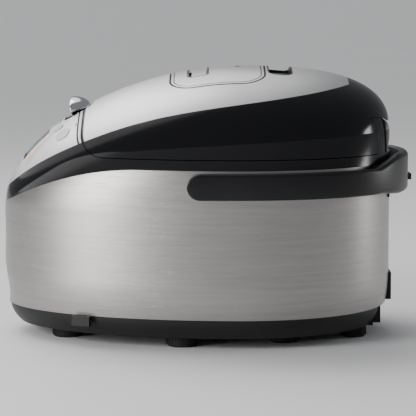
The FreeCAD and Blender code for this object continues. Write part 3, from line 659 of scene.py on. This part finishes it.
def display_cell(name):
    """Grey liquid crystal with unlit bar segments."""
    made = Finish(name)
    x, y, _ = made.place()
    cell = made.math("FRACT", x * 110 + 0.5)
    row = made.math("FRACT", y * 95 + 0.15)
    bars = (abs(cell - 0.5) < 0.30) * (abs(row - 0.5) < 0.34) * (1 - (abs(cell - 0.5) < 0.18) * (
        abs(abs(row - 0.5) - 0.15) < 0.09))
    shown = bars * (abs(x) < 0.022)
    tone = made.noise(200, detail=2)
    made.set(Base_Color=made.mix(shown * 0.7, made.mix(tone, (0.34, 0.37, 0.31), (0.38, 0.41, 0.34)),
                                 (0.07, 0.08, 0.075)), Roughness=0.35 + tone * 0.1)
    return made


def key_plastic(name):
    return satin_metal(name, (0.46, 0.46, 0.48), 0.30, 0.55)


def floor_paint(name):
    made = Finish(name)
    tone = made.noise(3, detail=2)
    made.set(Base_Color=made.mix(tone, (0.88, 0.88, 0.88), (0.91, 0.91, 0.91)), Roughness=0.72 + tone * 0.05)
    return made


FINISHES = {
    "steel_wrap": brushed_wrap, "lid_silver": lid_paint, "cap_silver": cap_paint, "plain_silver": latch_paint,
    "trim_silver": trim_paint, "panel_silver": panel_paint, "black_gloss": gloss_black,
    "black_satin": grip_plastic, "black_matte": case_plastic, "grey_plastic": liner_plastic,
    "foot_rubber": foot_rubber, "seal_rubber": seal_rubber, "lever_chrome": polished_chrome,
    "screw_steel": screw_steel, "contact_brass": contact_brass, "coil_copper": wound_copper,
    "ferrite": sintered, "sink_aluminium": sink_aluminium, "pot_coating": pot_coating,
    "board_green": board_laminate, "display_glass": display_glass, "display_grey": display_cell,
    "key_plastic": key_plastic, "floor": floor_paint,
}


def material(finish):
    made = bpy.data.materials.get("finish_" + finish)
    return made or FINISHES[finish]("finish_" + finish).material


# ------------------------------------------------------------------------------------------------
# Operators: one for each piece or group of like pieces
# ------------------------------------------------------------------------------------------------
class COOKER_OT_node_finishes(bpy.types.Operator):
    """Give every node of the frame the finish of its slot"""
    bl_idname = "cooker.node_finishes"
    bl_label = "Node finishes"

    def execute(self, context):
        slots = {part["node"]: part["material_slot"] for part in frame["record"]["subparts"]}
        for name, node in frame["nodes"].items():
            for holder in node.material_slots:
                holder.material = material(slots[name])
            if not node.material_slots:
                raise RuntimeError("node %s has no material slot" % name)
        return {"FINISHED"}


# Node, finish, material slot and body of each shell.
SHELLS = [("outer_shell", "steel_wrap", "steel_wrap", "root"),
          ("upper_frame", "black_gloss", "black_gloss", "root"),
          ("control_panel", "panel_silver", "panel_silver", "root"),
          ("lid_front_trim", "trim_silver", "panel_silver", "root"),
          ("lid_skirt", "black_gloss", "black_gloss", "lid"),
          ("hinge_cover", "black_gloss", "black_gloss", "lid"),
          ("lid_plate", "lid_silver", "lid_silver", "lid"),
          ("steam_cap", "cap_silver", "lid_silver", "steam_cap"),
          ("steam_cap_latch", "plain_silver", "lid_silver", "steam_cap_latch")]


class COOKER_OT_shells(bpy.types.Operator):
    """Build the outer shells with unbroken gloss"""
    bl_idname = "cooker.shells"
    bl_label = "Outer shells"

    def execute(self, context):
        for node, look, slot, body in SHELLS:
            piece = shade_on_envelope(merged_copy(node, node + "_shell"))
            finish_piece(piece, look, slot, body, node)
        return {"FINISHED"}


def bezier(a, b, c, d, t):
    """Point of a cubic curve at t of 0 to 1."""
    u = 1 - t
    return a * u ** 3 + b * (3 * u * u * t) + c * (3 * u * t * t) + d * t ** 3


def through(points, x):
    """Straight-line interpolation through (x, value) points."""
    for (x0, v0), (x1, v1) in zip(points, points[1:]):
        if x <= x1:
            return v0 + (v1 - v0) * max(0.0, x - x0) / (x1 - x0)
    return points[-1][1]


def ring_of_rounded_box(low, high, radii, segments=6):
    """Closed outline of a box in (across, up), with its own radius at each corner."""
    (x0, z0), (x1, z1) = low, high
    most = min(x1 - x0, z1 - z0) / 2 * 0.999
    corners = [(x1, z0, -90, 1, -1), (x1, z1, 0, 1, 1), (x0, z1, 90, -1, 1), (x0, z0, 180, -1, -1)]
    outline = []
    for (x, z, start, side, rise), radius in zip(corners, radii):
        radius = min(radius, most)
        for k in range(segments + 1):
            angle = math.radians(start + 90 * k / segments)
            outline.append((x - side * radius + radius * math.cos(angle),
                            z - rise * radius + radius * math.sin(angle)))
    return outline


def skin_rings(name, rings):
    """Tube through rings of equally many points, closed at both ends."""
    count = len(rings[0])
    verts = [point for ring in rings for point in ring]
    faces = []
    for k in range(len(rings) - 1):
        for n in range(count):
            m = (n + 1) % count
            faces.append((k * count + n, k * count + m, (k + 1) * count + m, (k + 1) * count + n))
    faces += [tuple(range(count)), tuple(range((len(rings) - 1) * count, len(rings) * count))]
    return from_lists(name, verts, faces)


GRIP_IN, GRIP_WALL, GRIP_REAR_WALL = 0.145, 0.0085, 0.0093
GRIP_PIVOT_Y, GRIP_MID_Z, GRIP_HALF_BAND = -0.007, 0.1515, 0.012
# Height of the grip's lower and upper edge at places along y.
GRIP_LOW_LINE = [(-1, GRIP_LOW[2] + 0.003), (0.162, GRIP_LOW[2] + 0.003), (0.178, GRIP_LOW[2]), (1, GRIP_LOW[2])]
GRIP_HIGH_LINE = [(-1, GRIP_MID_Z + GRIP_HALF_BAND), (0.155, GRIP_MID_Z + GRIP_HALF_BAND),
                  (0.178, GRIP_HIGH[2] + 0.0022), (1, GRIP_HIGH[2] + 0.0028)]


def grip_stations():
    """Inner and outer plan points of the grip, from the right pivot round the back to the left one."""
    rear_out = GRIP_HIGH[1] - POT_Y
    rear_in = rear_out - GRIP_REAR_WALL
    places = [GRIP_PIVOT_Y - GRIP_HALF_BAND * math.cos(math.radians(90 * k / 12 + 1.5 * (k == 0)))
              for k in range(13)]
    places += [GRIP_PIVOT_Y + (POT_Y - GRIP_PIVOT_Y) * k / 12 for k in range(1, 12)]
    stations = [(Vector((GRIP_IN, y)), Vector((GRIP_IN + GRIP_WALL, y))) for y in places]
    for k in range(49):
        pair = []
        for half, tail in ((GRIP_IN, rear_in), (GRIP_IN + GRIP_WALL, rear_out)):
            start, end = Vector((half, POT_Y)), Vector((0, POT_Y + tail))
            pair.append(bezier(start, start + Vector((0, tail * 0.57)), end + Vector((half * 0.57, 0)), end, k / 48))
        stations.append(tuple(pair))
    return stations + [(Vector((-a.x, a.y)), Vector((-b.x, b.y))) for a, b in reversed(stations[:-1])]


def grip_ring(inner, outer):
    """Rounded section of the grip between two plan points, rounder along the crossbar."""
    y = (inner.y + outer.y) / 2
    low, high = through(GRIP_LOW_LINE, y), through(GRIP_HIGH_LINE, y)
    if y < GRIP_PIVOT_Y:
        reach = math.sqrt(max(0.0, GRIP_HALF_BAND ** 2 - (y - GRIP_PIVOT_Y) ** 2))
        low, high = GRIP_MID_Z - reach, GRIP_MID_Z + reach
    edge, crossbar = sizes().grip_edge, max(0.0, min(1.0, (y - 0.150) / 0.030))
    radii = (edge + 0.004 * crossbar, edge + 0.0055 * crossbar, edge * 0.8, edge * 0.8)
    across = (outer - inner).normalized()
    return [(inner.x + across.x * u, inner.y + across.y * u, v)
            for u, v in ring_of_rounded_box((0, low), ((outer - inner).length, high), radii)]


class COOKER_OT_carry_handle(bpy.types.Operator):
    """Sweep the carry handle with soft edges and a fuller crossbar"""
    bl_idname = "cooker.carry_handle"
    bl_label = "Carry handle"

    def execute(self, context):
        rings = [grip_ring(inner, outer) for inner, outer in grip_stations()]
        piece = settle(skin_rings("carry_handle_grip", rings), 60)
        finish_piece(piece, "black_satin", "black_satin", "carry_handle", "carry_handle")
        return {"FINISHED"}


LEVER_MOUTH, LEVER_LEAN = Vector((0, -0.1266, 0.2142)), math.radians(16)
# Half width, half height, depth behind the mouth, drop below its middle and forward bow of the sides.
LEVER_RINGS = [(0.1, 0.1, 13.9, 3.4, 0), (9, 3.4, 13.7, 3.4, 0), (15, 6.4, 12.8, 3.2, 0),
               (19, 8.6, 10.4, 2.6, 0.3), (21.8, 10.0, 6.8, 1.6, 0.9), (23.6, 10.8, 3.0, 0.6, 1.9),
               (24.3, 11, 0.2, 0.1, 2.8), (24.5, 11, -1.1, 0, 3.2), (23.9, 10.5, -1.7, 0, 3.2),
               (23.0, 9.8, -1.4, 0, 3.1), (22.4, 9.3, -0.6, 0, 2.9), (21.6, 8.7, 1.5, 0.2, 2.2),
               (19.5, 7.6, 4.5, 0.8, 1.2), (15.5, 5.6, 8, 1.6, 0.4), (9, 3.2, 9.8, 2, 0),
               (0.1, 0.1, 10.2, 2, 0)]
LEVER_AXLE, LEVER_AXLE_RADIUS = Vector((0, -0.1192, 0.201)), 0.002


def lever_ring(half, height, back, drop, bow):
    """One ring of the cup, square to its lean; sizes in millimetres."""
    ring = []
    for k in range(56):
        angle = 2 * math.pi * k / 56
        across, up = half * math.cos(angle) * MM, (height * math.sin(angle) - drop) * MM
        depth = (back - bow * math.cos(angle) ** 2) * MM
        ring.append((across, LEVER_MOUTH.y + depth * math.cos(LEVER_LEAN) - up * math.sin(LEVER_LEAN),
                     LEVER_MOUTH.z + depth * math.sin(LEVER_LEAN) + up * math.cos(LEVER_LEAN)))
    return ring


def axle_ring(x):
    return [(x, LEVER_AXLE.y + LEVER_AXLE_RADIUS * math.cos(k * math.pi / 12),
             LEVER_AXLE.z + LEVER_AXLE_RADIUS * math.sin(k * math.pi / 12)) for k in range(24)]


class COOKER_OT_release_lever(bpy.types.Operator):
    """Loft the chrome thumb cup of the lid release, with its stem and axle"""
    bl_idname = "cooker.release_lever"
    bl_label = "Release lever"

    def execute(self, context):
        cup = skin_rings("release_lever_cup", [lever_ring(*row) for row in LEVER_RINGS])
        smooth = cup.modifiers.new("smooth", "SUBSURF")
        smooth.levels = smooth.render_levels = 1
        settle(cup, 80)
        finish_piece(cup, "lever_chrome", "lever_chrome", "release_lever", "release_lever")
        axle = skin_rings("release_lever_axle", [axle_ring(x) for x in (-0.025, -0.024, 0.024, 0.025)])
        settle(round_edges(axle, 0.0004), 40)
        finish_piece(axle, "lever_chrome", "lever_chrome", "release_lever")
        outline = ring_of_rounded_box((-0.006, -0.121), (0.006, -0.1175), (0.001,) * 4, 3)
        stem = skin_rings("release_lever_stem", [[(x, y, z) for x, y in outline] for z in (0.199, 0.2045, 0.208)])
        finish_piece(settle(stem, 40), "lever_chrome", "lever_chrome", "release_lever")
        return {"FINISHED"}


def rib_tree():
    """Geometry tree: a ring of upright ribs around every point of its input mesh."""
    tree = bpy.data.node_groups.new("foot_ribs", "GeometryNodeTree")
    face = tree.interface
    face.new_socket("Centres", in_out="INPUT", socket_type="NodeSocketGeometry")
    for name, default in (("Radius", 0.014), ("Rib Depth", 0.0004), ("Rib Width", 0.0012), ("Rib Height", 0.005)):
        face.new_socket(name, in_out="INPUT", socket_type="NodeSocketFloat").default_value = default
    face.new_socket("Count", in_out="INPUT", socket_type="NodeSocketInt").default_value = 28
    face.new_socket("Material", in_out="INPUT", socket_type="NodeSocketMaterial")
    face.new_socket("Ribs", in_out="OUTPUT", socket_type="NodeSocketGeometry")

    def add(kind, **links):
        made = tree.nodes.new(kind)
        for name, source in links.items():
            socket = made.inputs[name.replace("_", " ")]
            if hasattr(source, "is_linked"):
                tree.links.new(source, socket)
            else:
                socket.default_value = source
        return made

    given = tree.nodes.new("NodeGroupInput").outputs
    size = add("ShaderNodeCombineXYZ", X=given["Rib Depth"], Y=given["Rib Width"], Z=given["Rib Height"])
    rib = add("GeometryNodeMeshCube", Size=size.outputs[0])
    ring = add("GeometryNodeMeshCircle", Vertices=given["Count"], Radius=given["Radius"])
    place = add("GeometryNodeInputPosition")
    turn = add("FunctionNodeAlignRotationToVector", Vector=place.outputs[0])
    turn.axis, turn.pivot_axis = "X", "Z"
    ribs = add("GeometryNodeInstanceOnPoints", Points=ring.outputs[0], Instance=rib.outputs[0],
               Rotation=turn.outputs[0])
    feet = add("GeometryNodeInstanceOnPoints", Points=given["Centres"], Instance=ribs.outputs[0])
    real = add("GeometryNodeRealizeInstances", Geometry=feet.outputs[0])
    painted = add("GeometryNodeSetMaterial", Geometry=real.outputs[0], Material=given["Material"])
    tree.links.new(painted.outputs[0], tree.nodes.new("NodeGroupOutput").inputs["Ribs"])
    return tree


class COOKER_OT_foot_ribs(bpy.types.Operator):
    """Mould a ring of grip ribs around each rubber foot"""
    bl_idname = "cooker.foot_ribs"
    bl_label = "Foot ribs"

    def execute(self, context):
        tree = rib_tree()
        sockets = {item.name: item.identifier for item in tree.interface.items_tree if item.in_out == "INPUT"}
        for node in ("front_feet", "middle_feet", "side_feet", "rear_feet"):
            low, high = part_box(node)
            radius, height = (high[1] - low[1]) / 2, high[2] - low[2]
            middle = ((low[1] + high[1]) / 2, low[2] + height * 0.52)
            piece = from_lists(node + "_ribs", [(side * (high[0] - radius), *middle) for side in (-1, 1)], [])
            ribs = piece.modifiers.new("ribs", "NODES")
            ribs.node_group = tree
            settings = {"Radius": radius - 0.0001, "Rib Depth": 0.0009, "Rib Width": 0.0011,
                        "Rib Height": height * 0.62, "Count": sizes().foot_ribs, "Material": material("foot_rubber")}
            for name, value in settings.items():
                ribs[sockets[name]] = value
            finish_piece(settle(piece, 30), "foot_rubber", "foot_rubber", "root")
        return {"FINISHED"}


# Name, place, width, height and power of each softbox; all face the middle of the body.
SOFTBOXES = [("over", (-0.8, -0.75, 1.5), 1.1, 1.1, 14), ("key", (1.0, -1.35, 0.5), 0.75, 1.0, 27),
             ("rim", (-0.45, 1.7, 0.35), 0.25, 0.6, 5)]
SOFTBOX_AIM = Vector((0, 0, 0.13))
FLOOR_RADIUS = 40


class COOKER_OT_stage(bpy.types.Operator):
    """Set up the floor, the studio light and the camera"""
    bl_idname = "cooker.stage"
    bl_label = "Stage"

    def execute(self, context):
        scene = context.scene
        rim = [(FLOOR_RADIUS * math.cos(k * math.pi / 24), FLOOR_RADIUS * math.sin(k * math.pi / 24), FLOOR_Z)
               for k in range(48)]
        floor = from_lists("floor", rim, [tuple(range(48))])
        floor.data.materials.append(material("floor"))
        world = bpy.data.worlds.new("studio")
        world.use_nodes = True
        backdrop = world.node_tree.nodes["Background"].inputs
        backdrop["Color"].default_value = (0.93, 0.95, 1.0, 1)
        backdrop["Strength"].default_value = 0.24
        scene.world = world
        for name, place, wide, high, power in SOFTBOXES:
            lamp = bpy.data.lights.new(name, "AREA")
            lamp.shape, lamp.size, lamp.size_y, lamp.energy = "RECTANGLE", wide, high, power
            lamp_object = bpy.data.objects.new(name, lamp)
            lamp_object.location = place
            lamp_object.rotation_euler = (SOFTBOX_AIM - Vector(place)).to_track_quat("-Z", "Y").to_euler()
            scene.collection.objects.link(lamp_object)
        sky = bpy.data.lights.new("sky", "SUN")
        sky.energy, sky.angle = 1.3, math.radians(70)
        sky_object = bpy.data.objects.new("sky", sky)
        sky_object.rotation_euler = Vector((0.6, 0.45, -0.75)).to_track_quat("-Z", "Y").to_euler()
        scene.collection.objects.link(sky_object)
        lens = bpy.data.cameras.new("camera")
        lens.lens, lens.sensor_width, lens.clip_end = 180.0, 36.0, 200.0
        camera = bpy.data.objects.new("camera", lens)
        camera.location = (2.0, 0.0, 0.3364)
        camera.rotation_euler = (math.radians(90 - 6.27), 0.0, math.radians(90))
        scene.collection.objects.link(camera)
        scene.camera = camera
        return {"FINISHED"}


class COOKER_PT_panel(bpy.types.Panel):
    """Sidebar panel of the cooker's operators"""
    bl_label = "Rice cooker"
    bl_idname = "COOKER_PT_panel"
    bl_space_type = "VIEW_3D"
    bl_region_type = "UI"
    bl_category = "Cooker"

    def draw(self, context):
        for owner in (context.scene.cooker_sizes, context.scene.cooker_colours):
            column = self.layout.column(align=True)
            for name in owner.__annotations__:
                column.prop(owner, name)
        for step in STEPS:
            self.layout.operator(step.bl_idname)


STEPS = (COOKER_OT_node_finishes, COOKER_OT_shells, COOKER_OT_carry_handle, COOKER_OT_release_lever,
         COOKER_OT_foot_ribs, COOKER_OT_stage)
CLASSES = (CookerSizes, CookerColours) + STEPS + (COOKER_PT_panel,)


def register():
    for owner in CLASSES:
        bpy.utils.register_class(owner)
    bpy.types.Scene.cooker_sizes = PointerProperty(type=CookerSizes)
    bpy.types.Scene.cooker_colours = PointerProperty(type=CookerColours)


def unregister():
    del bpy.types.Scene.cooker_colours
    del bpy.types.Scene.cooker_sizes
    for owner in reversed(CLASSES):
        bpy.utils.unregister_class(owner)


def main():
    register()
    for step in STEPS:
        group, name = step.bl_idname.split(".")
        getattr(getattr(bpy.ops, group), name)()


if __name__ == "__main__":
    main()
